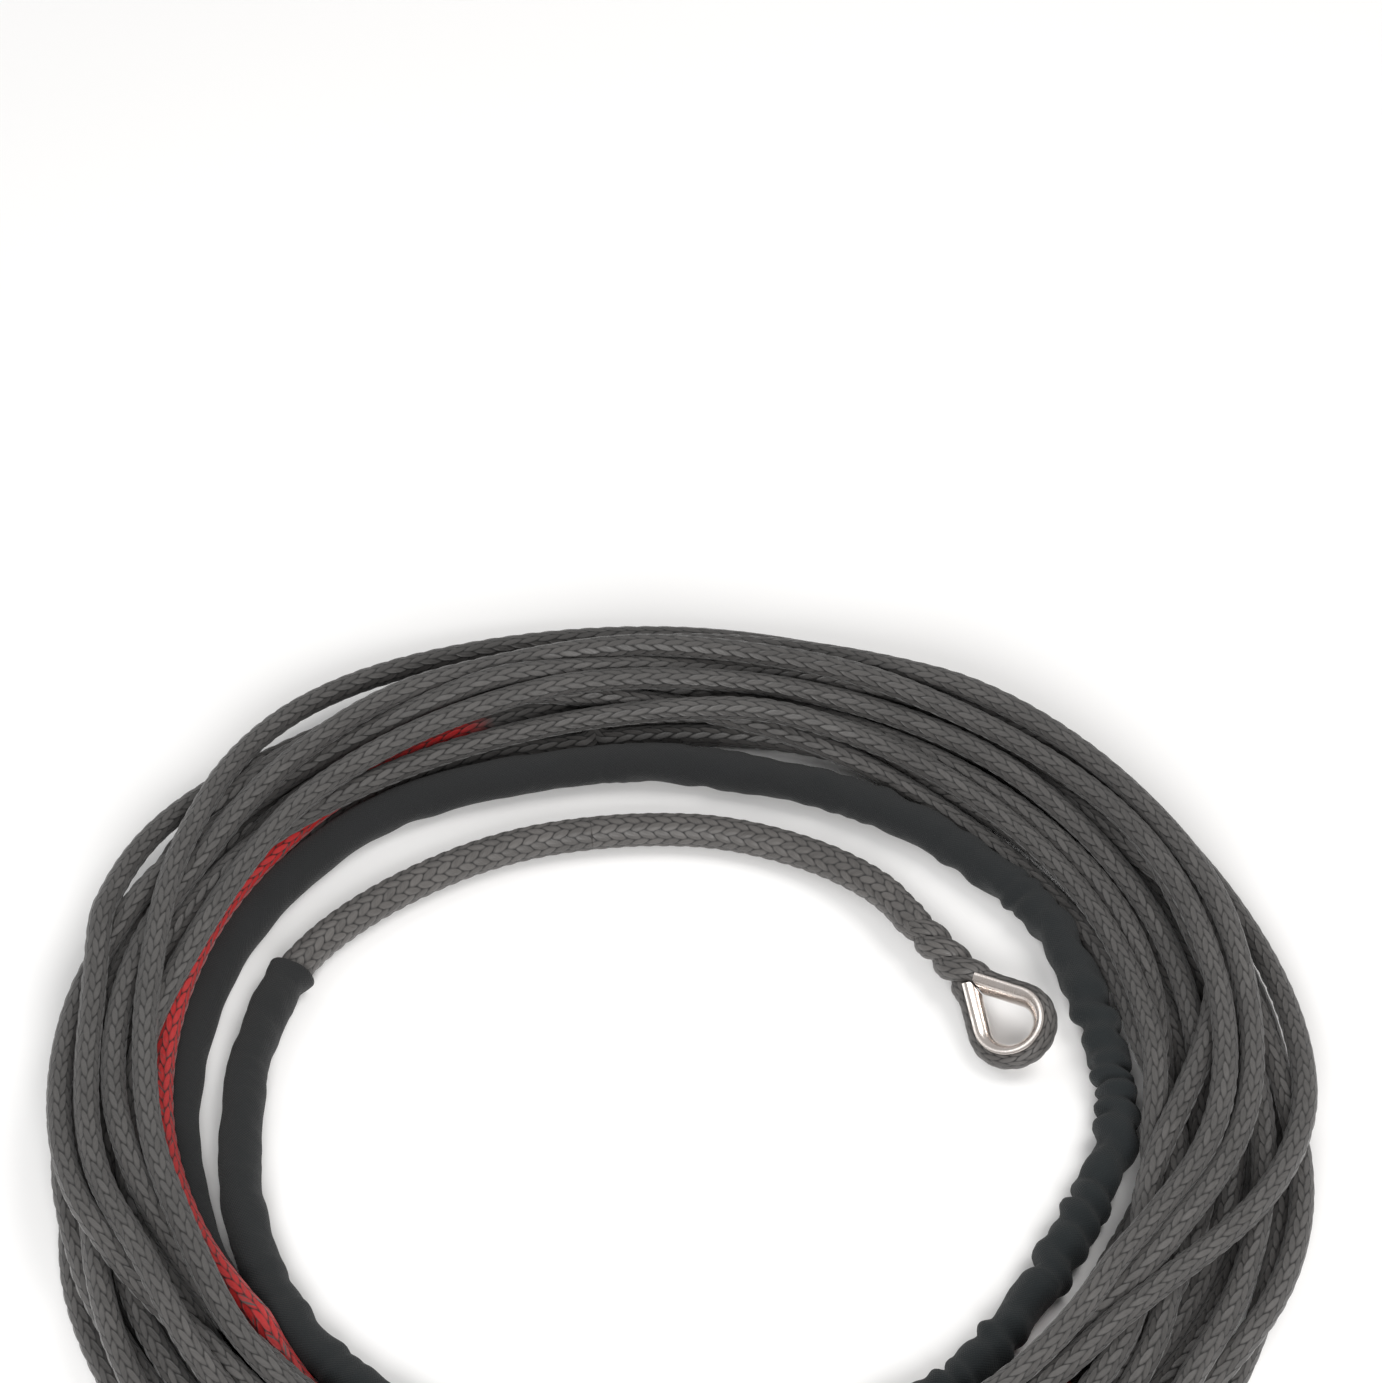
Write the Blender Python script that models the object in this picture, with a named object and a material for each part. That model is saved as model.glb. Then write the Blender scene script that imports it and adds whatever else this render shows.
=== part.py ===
"""Thimble eye on a braided synthetic winch rope.

World frame, metres, +Z up: +X runs along the eye from its lock to its crown, and the origin is on the
floor under the middle of the eye.  The rope itself is laid out in the coil's own frame, whose centre and
heading are given below.  Everything lies on the floor plane Z = 0.
"""

import math

import bmesh
import bpy
import numpy as np

MM = 0.001

# Driving dimensions: the rope
ROPE_RADIUS = 3.4 * MM              # slack 1/4 inch braid over its strands
LEAD_RADIUS = 4.9 * MM              # the same rope where its own tail is buried inside it
LEAD_BORE = 3.4 * MM
TAIL_RADIUS = 2.95 * MM
FLOOR_GAP = 0.1 * MM

# Driving dimensions: the thimble, a teardrop bent from half-round channel
CROWN_RADIUS = 6.0 * MM             # inside of the crown, on the channel's web
TIP_DISTANCE = 13.5 * MM            # crown centre to the point where the legs' inner faces meet
GROOVE_RADIUS = 3.6 * MM
SHEET = 1.0 * MM
RIM_HALF_HEIGHT = 4.3 * MM
RIM_REACH = 4.1 * MM                # from the web's inner face out to the rim's edge
TIP_HALF_GAP = 0.25 * MM
GROOVE_END = math.radians(75.0)     # each side of the channel's middle

# Driving dimensions: the rope eye around it
EYE_OFFSET = 4.0 * MM               # web's inner face to the middle of the rope
EYE_ROPE_HALF_WIDTH = 2.7 * MM      # in the plane of the eye
EYE_ROPE_HALF_HEIGHT = 3.2 * MM
EYE_END_HALF_SPREAD = 3.0 * MM      # half the distance between the legs where the lock begins
LOCK_BACK = 42.0 * MM               # its end, behind the crown centre
# The lock's two swellings in mm: behind the crown centre, half width, half height
LOCK_SECTIONS = [(18.0, 5.5, 3.4), (21.0, 5.2, 4.3), (25.0, 5.4, 4.9), (28.5, 4.6, 4.3),
                 (32.5, 5.3, 5.0), (36.5, 4.7, 4.5), (42.0, 4.9, 4.9)]
EYE_ROLL = math.radians(25.0)       # the eye lies on one edge, its +Y side raised

# Driving dimensions: clearances at the places where the rope bends
SWING_GAP = 1.5 * MM                # each side of the eye's swing axis
LIFT_GAP = 2.2 * MM                 # each side of the lead's lift axis
LUG_GAP = 2.0 * MM

# Driving dimensions: the abrasion sleeve
SLEEVE_RADIUS = 5.8 * MM
SLEEVE_BORE = 5.4 * MM

# Driving dimensions: the drum end
BARREL_RADIUS = 4.4 * MM
BARREL_BORE = 3.75 * MM
BARREL_LENGTH = 12.0 * MM
SHRINK_RADIUS = 5.2 * MM
SHRINK_BORE = 4.7 * MM
PALM_RADIUS = 6.6 * MM
PALM_THICKNESS = 1.8 * MM
PALM_HOLE_RADIUS = 3.2 * MM
PALM_REACH = 27.0 * MM              # back of the barrel to the centre of the hole
PALM_HEIGHT = 1.4 * MM              # underside of the palm above the floor
NECK_HALF_WIDTH = 4.0 * MM
NECK_OVERLAP = 1.2 * MM             # of the neck with the barrel's front
WEB_THICKNESS = 2.4 * MM            # the wall that closes the barrel's front
WEB_TOP = 2.4 * MM                  # above the barrel's axis
WEB_INSET = 0.1 * MM                # from the palm's underside
SHRINK_LEAD = 4.0 * MM              # of the shrink tube before the barrel
SHRINK_STOP = 2.0 * MM              # short of the barrel's front
ROPE_IN_BARREL = 0.45               # as a part of the barrel's length

# The coil's frame seen from the eye
CROWN_IN_COIL = (93.0 * MM, 20.0 * MM)
EYE_HEADING = math.radians(-55.0)   # of world +X, in the coil's frame

# Routes in the coil's frame, chosen by hand
LEAD_MIDDLE = [(58.8, 68.7, 7.4), (45.6, 79.6, 6.0), (29.5, 87.5, 5.2), (12.0, 92.2, 5.0),
               (-6.0, 93.2, 5.0), (-24.0, 91.7, 5.0), (-41.0, 88.2, 5.0), (-57.0, 82.2, 5.0),
               (-72.0, 73.9, 5.0), (-85.2, 64.4, 5.0), (-96.3, 53.6, 5.3)]
MOUTH_PIVOT = (-105.2 * MM, 40.6 * MM, 5.9 * MM)
MOUTH_HEADING = math.radians(62.0)  # from the pivot along the lead
SLEEVE_ROUTE = [(166, 114.0), (173, 114.5), (180, 115.0), (200, 119.0), (222, 122.5), (250, 122.0),
                (275, 120.0), (300, 117.0), (317, 115.5), (345, 117.0), (360, 119.5), (384, 120.0),
                (399, 119.0), (418, 117.0), (438, 116.0), (457, 119.0), (482, 126.0), (500, 131.0),
                (520, 132.5), (541, 132.5), (560, 132.5), (578, 134.0)]
SPLICE_IN_SLEEVE = 220.0 * MM       # the buried tail tapers out this far past the mouth
TAPER_LENGTH = 80.0 * MM
BARE_EXIT = [(583, 134.6), (587, 133.9)]
COIL_INNER = [126.5, 127.0, 125.0, 125.5, 132.8, 139.3, 140.2, 141.2, 136.0, 129.0, 126.0, 125.0]
COIL_OUTER = [176.0, 174.0, 169.5, 169.5, 177.0, 174.0, 170.0, 170.0, 173.0, 175.0, 176.0, 176.0]
COIL_HEIGHT = 24.0 * MM
COIL_CORNER = 6.0 * MM
END_ROUTE = [(-81.3, -159.5), (-61.2, -168.4), (-40.3, -174.8), (-18.7, -178.6), (3.1, -179.8),
             (20.0, -181.6), (34.0, -184.2)]
LUG_PIVOT = (50.0 * MM, -187.6 * MM)
LUG_HEADING = math.radians(-12.0)

# Facets
RING_SIDES = 12
LOCK_SIDES = 16
DISC_SIDES = 20
ARC_STEPS = 8                       # to each quarter of the teardrop's crown
LEG_STEPS = 4
CHANNEL_STEPS = 6
LEAD_RINGS = 22
SLEEVE_RINGS = 74
END_RINGS = 14
STRAIGHT_RINGS = 3
COIL_SEGMENTS = 48
CATMULL_STEPS = 24

EYE_HALF_ANGLE = math.asin(CROWN_RADIUS / TIP_DISTANCE)
EYE_NOSE = CROWN_RADIUS + EYE_OFFSET + EYE_ROPE_HALF_WIDTH
EYE_CENTRE_X = (LOCK_BACK - EYE_NOSE) / 2
EYE_CENTRE_Z = (math.sin(EYE_ROLL) * (CROWN_RADIUS + RIM_REACH)
                + math.cos(EYE_ROLL) * RIM_HALF_HEIGHT)


def clear_scene():
    for obj in list(bpy.data.objects):
        bpy.data.objects.remove(obj, do_unlink=True)


def material(name, colour, roughness, metallic):
    made = bpy.data.materials.new(name)
    made.use_nodes = True
    shader = made.node_tree.nodes["Principled BSDF"]
    shader.inputs["Base Color"].default_value = (*colour, 1.0)
    shader.inputs["Roughness"].default_value = roughness
    shader.inputs["Metallic"].default_value = metallic
    return made


def empty(name, location, rotation):
    made = bpy.data.objects.new(name, None)
    bpy.context.collection.objects.link(made)
    made.location = location
    made.rotation_euler = rotation
    return made


def mesh_object(name, bm, finish, parent):
    bmesh.ops.recalc_face_normals(bm, faces=bm.faces)
    data = bpy.data.meshes.new(name)
    bm.to_mesh(data)
    bm.free()
    data.shade_smooth()
    data.set_sharp_from_angle(angle=math.radians(35.0))
    data.materials.append(finish)
    made = bpy.data.objects.new(name, data)
    bpy.context.collection.objects.link(made)
    made.parent = parent
    return made


def catmull_rom(points, closed=False):
    """A smooth curve through the points, CATMULL_STEPS samples to each span."""
    pts = np.array(points, dtype=float)
    if closed:
        pts = np.vstack([pts[-1], pts, pts[0], pts[1]])
    else:
        pts = np.vstack([2 * pts[0] - pts[1], pts, 2 * pts[-1] - pts[-2]])
    out = []
    for a, b, c, d in zip(pts[:-3], pts[1:-2], pts[2:-1], pts[3:]):
        for step in range(CATMULL_STEPS):
            t = step / CATMULL_STEPS
            out.append(0.5 * (2 * b + (c - a) * t + (2 * a - 5 * b + 4 * c - d) * t ** 2
                              + (3 * b - a - 3 * c + d) * t ** 3))
    if not closed:
        out.append(pts[-2])
    return np.array(out)


def even_points(curve, count):
    """The curve read again at an even spacing along its length."""
    steps = np.linalg.norm(np.diff(curve, axis=0), axis=1)
    along = np.concatenate([[0.0], np.cumsum(steps)])
    wanted = np.linspace(0.0, along[-1], count)
    return np.column_stack([np.interp(wanted, along, curve[:, axis]) for axis in range(3)])


def polar(route, height):
    return [(r * MM * math.cos(math.radians(a)), r * MM * math.sin(math.radians(a)), height)
            for a, r in route]


def path_sections(points):
    """For each point the two directions across the path: level, and up."""
    ahead = np.gradient(points, axis=0)
    ahead /= np.linalg.norm(ahead, axis=1)[:, None]
    level = np.cross(ahead, (0.0, 0.0, 1.0))
    level /= np.linalg.norm(level, axis=1)[:, None]
    return level, np.cross(level, ahead)


def ring_around(bm, centre, across, up, radius_across, radius_up, sides=RING_SIDES):
    ring = []
    for side in range(sides):
        turn = 2 * math.pi * side / sides
        ring.append(bm.verts.new(centre + across * radius_across * math.cos(turn)
                                 + up * radius_up * math.sin(turn)))
    return ring


def skin(bm, rings):
    for first, second in zip(rings[:-1], rings[1:]):
        for k in range(len(first)):
            after = (k + 1) % len(first)
            bm.faces.new((first[k], first[after], second[after], second[k]))


def hollow_tube(name, points, outer, bore, finish, parent):
    """A round tube along the points, open right through."""
    level, up = path_sections(points)
    bm = bmesh.new()
    walls = []
    for radius in (outer, bore):
        rings = [ring_around(bm, points[i], level[i], up[i], radius, radius)
                 for i in range(len(points))]
        skin(bm, rings)
        walls.append(rings)
    for end in (0, -1):
        skin(bm, [walls[0][end], walls[1][end]])
    return mesh_object(name, bm, finish, parent)


def cord_tube(name, points, radii, finish, parent):
    """A solid cord: a bevelled curve with filled caps, its radius given point by point."""
    data = bpy.data.curves.new(name, "CURVE")
    data.dimensions = "3D"
    data.twist_mode = "Z_UP"
    data.bevel_depth = 1.0
    data.bevel_resolution = 2
    data.use_fill_caps = True
    spline = data.splines.new("POLY")
    spline.points.add(len(points) - 1)
    for k, (place, radius) in enumerate(zip(points, radii)):
        spline.points[k].co = (*place, 1.0)
        spline.points[k].radius = radius
    data.materials.append(finish)
    made = bpy.data.objects.new(name, data)
    bpy.context.collection.objects.link(made)
    made.parent = parent
    return made


def teardrop_stations(leg_length):
    """Points of the teardrop on the web's inner face, each with its outward direction."""
    sine = math.sin(EYE_HALF_ANGLE)
    cosine = math.cos(EYE_HALF_ANGLE)
    out = []
    for side in (-1, 1):
        normal = np.array((-sine, side * cosine, 0.0))
        along = np.array((-cosine, -side * sine, 0.0))
        leg = [(CROWN_RADIUS * normal + along * leg_length * k / LEG_STEPS, normal)
               for k in range(1, LEG_STEPS + 1)]
        past_square = [math.pi / 2 + EYE_HALF_ANGLE * k / 2 for k in (1, 2)]
        first = 1 if side > 0 else 0
        angles = [math.pi / 2 * k / ARC_STEPS for k in range(first, ARC_STEPS + 1)] + past_square
        arc = []
        for angle in angles:
            normal = np.array((math.cos(angle), side * math.sin(angle), 0.0))
            arc.append((CROWN_RADIUS * normal, normal))
        half = arc + leg
        out = out + half if side > 0 else half[::-1]
    return out


def channel_profile():
    """The half-round channel as (distance out from the web's inner face, height)."""
    skin_radius = GROOVE_RADIUS + SHEET
    skin_end = math.asin(RIM_HALF_HEIGHT / skin_radius)
    outer = []
    groove = []
    for k in range(CHANNEL_STEPS + 1):
        share = 2 * k / CHANNEL_STEPS - 1
        turn = skin_end * share
        outer.append((skin_radius * (1 - math.cos(turn)), skin_radius * math.sin(turn)))
        turn = -GROOVE_END * share
        groove.append((skin_radius - GROOVE_RADIUS * math.cos(turn), GROOVE_RADIUS * math.sin(turn)))
    return outer + [(RIM_REACH, RIM_HALF_HEIGHT)] + groove + [(RIM_REACH, -RIM_HALF_HEIGHT)]


def sweep_teardrop(name, stations, profile, finish, parent):
    bm = bmesh.new()
    rings = []
    for place, normal in stations:
        rings.append([bm.verts.new(place + normal * out + np.array((0.0, 0.0, height)))
                      for out, height in profile])
    skin(bm, rings)
    bm.faces.new(rings[0])
    bm.faces.new(rings[-1][::-1])
    return mesh_object(name, bm, finish, parent)


def make_thimble(finish, parent):
    web_y = CROWN_RADIUS * math.cos(EYE_HALF_ANGLE)
    leg = (web_y - TIP_HALF_GAP) / math.sin(EYE_HALF_ANGLE)
    return sweep_teardrop("thimble", teardrop_stations(leg), channel_profile(), finish, parent)


def make_eye_loop(finish, parent):
    middle_y = (CROWN_RADIUS + EYE_OFFSET) * math.cos(EYE_HALF_ANGLE)
    leg = (middle_y - EYE_END_HALF_SPREAD) / math.sin(EYE_HALF_ANGLE)
    section = [2 * math.pi * k / RING_SIDES for k in range(RING_SIDES)]
    profile = [(EYE_OFFSET + EYE_ROPE_HALF_WIDTH * math.cos(a), EYE_ROPE_HALF_HEIGHT * math.sin(a))
               for a in section]
    return sweep_teardrop("eye_loop", teardrop_stations(leg), profile, finish, parent)


def make_lock_splice(finish, parent):
    """Both legs pass through each other twice, which leaves two rounded swellings."""
    across = np.array((0.0, 1.0, 0.0))
    up = np.array((0.0, 0.0, 1.0))
    bm = bmesh.new()
    rings = [ring_around(bm, np.array((-back * MM, 0.0, 0.0)), across, up, wide * MM, high * MM, LOCK_SIDES)
             for back, wide, high in LOCK_SECTIONS]
    skin(bm, rings)
    bm.faces.new(rings[0])
    bm.faces.new(rings[-1][::-1])
    return mesh_object("lock_splice", bm, finish, parent)


def eye_point_in_coil(distance_back, height):
    """A point on the eye's axis behind the crown centre, in the coil's frame."""
    return (CROWN_IN_COIL[0] - distance_back * math.cos(EYE_HEADING),
            CROWN_IN_COIL[1] - distance_back * math.sin(EYE_HEADING), height)


def mouth_point(distance):
    """A point on the lead's line at the sleeve's mouth, ahead of the lift axis or behind it."""
    return (MOUTH_PIVOT[0] + distance * math.cos(MOUTH_HEADING),
            MOUTH_PIVOT[1] + distance * math.sin(MOUTH_HEADING), MOUTH_PIVOT[2])


def make_lead(cover, tail, parent):
    start = eye_point_in_coil(LOCK_BACK + 2 * SWING_GAP, EYE_CENTRE_Z)
    middle = [tuple(value * MM for value in point) for point in LEAD_MIDDLE]
    curve = catmull_rom([start] + middle + [mouth_point(LIFT_GAP)])
    points = even_points(curve, LEAD_RINGS)
    hollow_tube("lead_rope", points, LEAD_RADIUS, LEAD_BORE, cover, parent)
    cord_tube("buried_tail", points, [TAIL_RADIUS] * len(points), tail, parent)


def sleeve_points():
    height = SLEEVE_RADIUS + FLOOR_GAP
    return even_points(catmull_rom([mouth_point(-LIFT_GAP)] + polar(SLEEVE_ROUTE, height)), SLEEVE_RINGS)


def make_sleeve(finish, parent):
    return hollow_tube("abrasion_sleeve", sleeve_points(), SLEEVE_RADIUS, SLEEVE_BORE, finish, parent)


def make_sleeved_rope(finish, parent):
    """The rope through the sleeve: spliced and thick at the mouth, plain rope further in."""
    beyond = polar(BARE_EXIT, SLEEVE_RADIUS + FLOOR_GAP)
    points = np.vstack([sleeve_points(), beyond])
    steps = np.linalg.norm(np.diff(points, axis=0), axis=1)
    along = np.concatenate([[0.0], np.cumsum(steps)])
    radii = np.interp(along, [SPLICE_IN_SLEEVE - TAPER_LENGTH, SPLICE_IN_SLEEVE],
                      [LEAD_RADIUS - FLOOR_GAP, ROPE_RADIUS])
    return cord_tube("sleeved_rope", points, radii, finish, parent)


def make_coil(finish, parent):
    """The outer shape of the coiled rope: a turned ring, a little wider where the turns are looser."""
    inner = catmull_rom([(value * MM,) for value in COIL_INNER], closed=True)[:, 0]
    outer = catmull_rom([(value * MM,) for value in COIL_OUTER], closed=True)[:, 0]
    low = FLOOR_GAP
    high = COIL_HEIGHT
    bm = bmesh.new()
    rings = []
    for k in range(COIL_SEGMENTS):
        sample = k * len(inner) // COIL_SEGMENTS
        angle = 2 * math.pi * k / COIL_SEGMENTS
        near = inner[sample]
        far = outer[sample]
        outline = [(near, low), (far - COIL_CORNER / 2, low), (far, low + COIL_CORNER / 2),
                   (far, high - COIL_CORNER), (far - COIL_CORNER, high), (near + COIL_CORNER, high),
                   (near, high - COIL_CORNER)]
        rings.append([bm.verts.new((r * math.cos(angle), r * math.sin(angle), z))
                      for r, z in outline])
    skin(bm, rings + [rings[0]])
    return mesh_object("rope_coil", bm, finish, parent)


def make_rope_end(finish, parent):
    height = ROPE_RADIUS + FLOOR_GAP
    rise = SHRINK_RADIUS + FLOOR_GAP
    route = [(x * MM, y * MM, height) for x, y in END_ROUTE]
    last = (LUG_PIVOT[0] - LUG_GAP * math.cos(LUG_HEADING),
            LUG_PIVOT[1] - LUG_GAP * math.sin(LUG_HEADING), rise)
    points = even_points(catmull_rom(route + [last]), END_RINGS)
    points[:, 2] = np.maximum(points[:, 2], height)
    return cord_tube("rope_end_run", points, [ROPE_RADIUS] * len(points), finish, parent)


def straight(start, end):
    along = np.linspace(start, end, STRAIGHT_RINGS)
    return np.column_stack([along, np.zeros(STRAIGHT_RINGS), np.zeros(STRAIGHT_RINGS)])


def box_mesh(low, high):
    bm = bmesh.new()
    bmesh.ops.create_cube(bm, size=1.0)
    for vert in bm.verts:
        for axis in range(3):
            vert.co[axis] = low[axis] if vert.co[axis] < 0 else high[axis]
    return bm


def disc_mesh(centre_x, radius, low, high):
    bm = bmesh.new()
    across = np.array((1.0, 0.0, 0.0))
    up = np.array((0.0, 1.0, 0.0))
    rings = [ring_around(bm, np.array((centre_x, 0.0, z)), across, up, radius, radius, DISC_SIDES)
             for z in (low, high)]
    skin(bm, rings)
    bm.faces.new(rings[0])
    bm.faces.new(rings[1][::-1])
    return bm


def boolean(target, operation, cutter):
    cutter.hide_render = True
    cutter.display_type = "WIRE"
    step = target.modifiers.new(operation.lower(), "BOOLEAN")
    step.operation = operation
    step.solver = "EXACT"
    step.object = cutter


def make_drum_lug(metal, parent):
    """A crimp barrel that runs out into a flat ring palm."""
    back = LUG_GAP + SHRINK_LEAD
    barrel = hollow_tube("drum_lug", straight(back, back + BARREL_LENGTH), BARREL_RADIUS,
                         BARREL_BORE, metal, parent)
    low = PALM_HEIGHT - SHRINK_RADIUS - FLOOR_GAP
    high = low + PALM_THICKNESS
    hole_x = back + PALM_REACH
    half = NECK_HALF_WIDTH
    neck_start = back + BARREL_LENGTH - NECK_OVERLAP
    neck = mesh_object("lug_neck_shape", box_mesh((neck_start, -half, low), (hole_x, half, high)),
                       metal, parent)
    wall = box_mesh((neck_start, -half, low + WEB_INSET), (neck_start + WEB_THICKNESS, half, WEB_TOP))
    web = mesh_object("lug_web_shape", wall, metal, parent)
    palm = mesh_object("lug_palm_shape", disc_mesh(hole_x, PALM_RADIUS, low, high), metal, parent)
    hole = mesh_object("lug_hole_shape",
                       disc_mesh(hole_x, PALM_HOLE_RADIUS, low - SHEET, high + SHEET), metal, parent)
    for piece in (neck, web, palm):
        boolean(barrel, "UNION", piece)
    boolean(barrel, "DIFFERENCE", hole)
    return barrel


def make_drum_end(rubber, metal, rope, parent):
    make_drum_lug(metal, parent)
    shrink = straight(LUG_GAP, LUG_GAP + SHRINK_LEAD + BARREL_LENGTH - SHRINK_STOP)
    hollow_tube("shrink_tube", shrink, SHRINK_RADIUS, SHRINK_BORE, rubber, parent)
    stub = straight(LUG_GAP, LUG_GAP + SHRINK_LEAD + BARREL_LENGTH * ROPE_IN_BARREL)
    cord_tube("crimped_end", stub, [ROPE_RADIUS] * len(stub), rope, parent)


def build():
    clear_scene()
    rope = material("rope", (0.115, 0.112, 0.110), 0.72, 0.0)
    sleeve = material("sleeve", (0.040, 0.045, 0.047), 0.85, 0.0)
    steel = material("steel", (0.78, 0.75, 0.73), 0.18, 1.0)
    lug_metal = material("lug_metal", (0.62, 0.62, 0.63), 0.35, 1.0)
    shrink = material("shrink", (0.020, 0.020, 0.022), 0.55, 0.0)

    eye = empty("eye_axis", (EYE_CENTRE_X, 0.0, EYE_CENTRE_Z), (EYE_ROLL, 0.0, 0.0))
    turn = -EYE_HEADING
    coil_x = EYE_CENTRE_X - (CROWN_IN_COIL[0] * math.cos(turn) - CROWN_IN_COIL[1] * math.sin(turn))
    coil_y = -(CROWN_IN_COIL[0] * math.sin(turn) + CROWN_IN_COIL[1] * math.cos(turn))
    coil = empty("coil_centre", (coil_x, coil_y, 0.0), (0.0, 0.0, turn))
    lug = empty("lug_axis", (*LUG_PIVOT, SHRINK_RADIUS + FLOOR_GAP), (0.0, 0.0, LUG_HEADING))
    lug.parent = coil

    make_thimble(steel, eye)
    make_eye_loop(rope, eye)
    make_lock_splice(rope, eye)
    make_lead(rope, rope, coil)
    make_sleeve(sleeve, coil)
    make_sleeved_rope(rope, coil)
    make_coil(rope, coil)
    make_rope_end(rope, coil)
    make_drum_end(shrink, lug_metal, rope, lug)


build()
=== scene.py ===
"""Looks of the thimble eye and the winch rope that it ends.

Row frame, metres, +Z up: +X runs along the eye from its lock to its crown, and everything lies on the floor
plane Z = 0.  Routes are written in millimetres in the coil's own frame, whose place is given below.
"""

import math

import bpy
import numpy as np
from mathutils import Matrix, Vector


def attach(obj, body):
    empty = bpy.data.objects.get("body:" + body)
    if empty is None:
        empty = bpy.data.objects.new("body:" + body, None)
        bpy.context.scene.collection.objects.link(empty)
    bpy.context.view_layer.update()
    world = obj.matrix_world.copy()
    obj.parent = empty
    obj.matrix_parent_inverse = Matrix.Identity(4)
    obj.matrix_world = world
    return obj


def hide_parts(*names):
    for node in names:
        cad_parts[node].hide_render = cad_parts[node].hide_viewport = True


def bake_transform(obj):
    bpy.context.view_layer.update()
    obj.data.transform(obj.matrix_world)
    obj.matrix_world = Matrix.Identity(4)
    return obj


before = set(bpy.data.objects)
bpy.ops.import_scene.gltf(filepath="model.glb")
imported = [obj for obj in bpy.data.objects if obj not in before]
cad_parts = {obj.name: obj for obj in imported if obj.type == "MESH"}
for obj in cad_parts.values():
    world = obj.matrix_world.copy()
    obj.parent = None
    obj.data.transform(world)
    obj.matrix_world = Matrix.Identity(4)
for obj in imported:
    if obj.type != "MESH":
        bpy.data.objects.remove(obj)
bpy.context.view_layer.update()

MM = 0.001

# Places shared with the CAD
COIL_ORIGIN = (-22.31, -87.65, 0.0)
COIL_HEADING = math.radians(55.0)  # of the coil's +X, in the row frame
CROWN_IN_COIL = (93.0, 20.0)
EYE_HEADING = math.radians(-55.0)  # of the row's +X, in the coil's frame
EYE_CENTRE = (14.65, 0.0, 8.17)  # crown centre in the row frame
EYE_ROLL = math.radians(25.0)
MOUTH_PIVOT = (-105.2, 40.6, 5.9)  # where the lead lifts out of the sleeve, in the coil's frame
MOUTH_HEADING = math.radians(62.0)
LUG_PIVOT = (50.0, -187.6, 5.3)
LUG_HEADING = math.radians(-12.0)

# Rope and sleeve
ROPE_RADIUS = 3.4
ROPE_FLOAT = 5.7  # length of one float of the braid, slack rope
LEAD_RADIUS = 4.9
LEAD_FLOAT = 4.5  # the braid is shorter where the tail fattens it
BRAID_FLOATS = 12  # columns of floats round the rope
STRANDS_EACH_WAY = 6.0
STRAND_DOME = 0.85  # how far a strand falls away from its middle to its edge
CROSSING_LIFT = 0.42  # how far the strand on top stands over the one below
ROPE_LOWEST = ROPE_RADIUS + 0.1  # height of the rope's middle when it lies on the floor
SLEEVE_RADIUS = 5.8
SPLICE_IN_SLEEVE = 220.0
TAPER_LENGTH = 80.0

# Eye
CROWN_RADIUS = 6.0
TIP_DISTANCE = 13.5
GROOVE_RADIUS = 3.6
SHEET = 1.0
RIM_HALF_HEIGHT = 4.3
RIM_REACH = 4.1
TIP_HALF_GAP = 0.25
TIP_MITRE = 3.2  # the cut ends slant back this far past the tip
EYE_OFFSET = 4.0
EYE_ROPE_HALF_WIDTH = 2.75
EYE_ROPE_HALF_HEIGHT = 3.25
LOCK_FRONT = 18.0
LOCK_BACK = 42.0
LOCK_HALF_TURN = 9.0  # the legs pass each other once in this length
LOCK_STRAND_RADIUS = 3.55
LOCK_END_RADIUS = 2.9  # of the strands where the lead swallows them
LOCK_INTO_LEAD = 3.0
HALF_ANGLE = math.asin(CROWN_RADIUS / TIP_DISTANCE)

# Routes in the coil's frame: points, or (degrees, radius) at one height
LEAD_MIDDLE = [(58.8, 68.7, 7.4), (45.6, 79.6, 6.0), (29.5, 87.5, 5.2), (12.0, 92.2, 5.0),
               (-6.0, 93.2, 5.0), (-24.0, 91.7, 5.0), (-41.0, 88.2, 5.0), (-57.0, 82.2, 5.0),
               (-72.0, 73.9, 5.0), (-85.2, 64.4, 5.0), (-96.3, 53.6, 5.3)]
SLEEVE_ROUTE = [(166, 114.0), (173, 114.5), (180, 115.0), (200, 119.0), (222, 122.5), (250, 122.0),
                (275, 120.0), (300, 117.0), (317, 115.5), (345, 117.0), (360, 119.5), (384, 120.0),
                (399, 119.0), (418, 117.0), (438, 116.0), (457, 119.0), (482, 126.0), (500, 131.0),
                (520, 132.5), (541, 132.5), (560, 132.5), (578, 134.0)]
SLEEVE_HEIGHT = 5.9
BARE_EXIT = [(583, 134.6), (587, 133.9)]
# Inner edge of the coil every 30 degrees
COIL_INNER = [126.5, 127.0, 125.0, 125.5, 132.8, 139.3, 140.2, 141.2, 136.0, 129.0, 126.0, 125.0]
END_ROUTE = [(-81.3, -159.5), (-61.2, -168.4), (-40.3, -174.8), (-18.7, -178.6), (3.1, -179.8),
             (20.0, -181.6), (34.0, -184.2)]

# The coil is wound from 227 degrees; turn 0 comes out of the sleeve and lies on top, the last lies lowest
COIL_START = 587.0
COIL_END = 6002.0
FIRST_RADIUS = 134.0
LAST_RADIUS = 178.9
TURNS = 16
SLICES = 180  # cross-sections round the coil
ROPE_GIVE = 0.3  # how far a slack braid flattens against its neighbour
SLEEVE_GIVE = 0.3  # and how far the sleeve does under it
PILE_STEP = 6.8  # height between turns before they settle
# Where each turn would lie between the inner edge and the limit, from 0 to 1
LANES = [0.0, 0.05, 0.0, 0.35, 0.28, 0.0, 0.55, 0.9, 0.7, 0.15, 0.4, 0.85, 0.6, 0.1, 0.3, 1.0]
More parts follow.
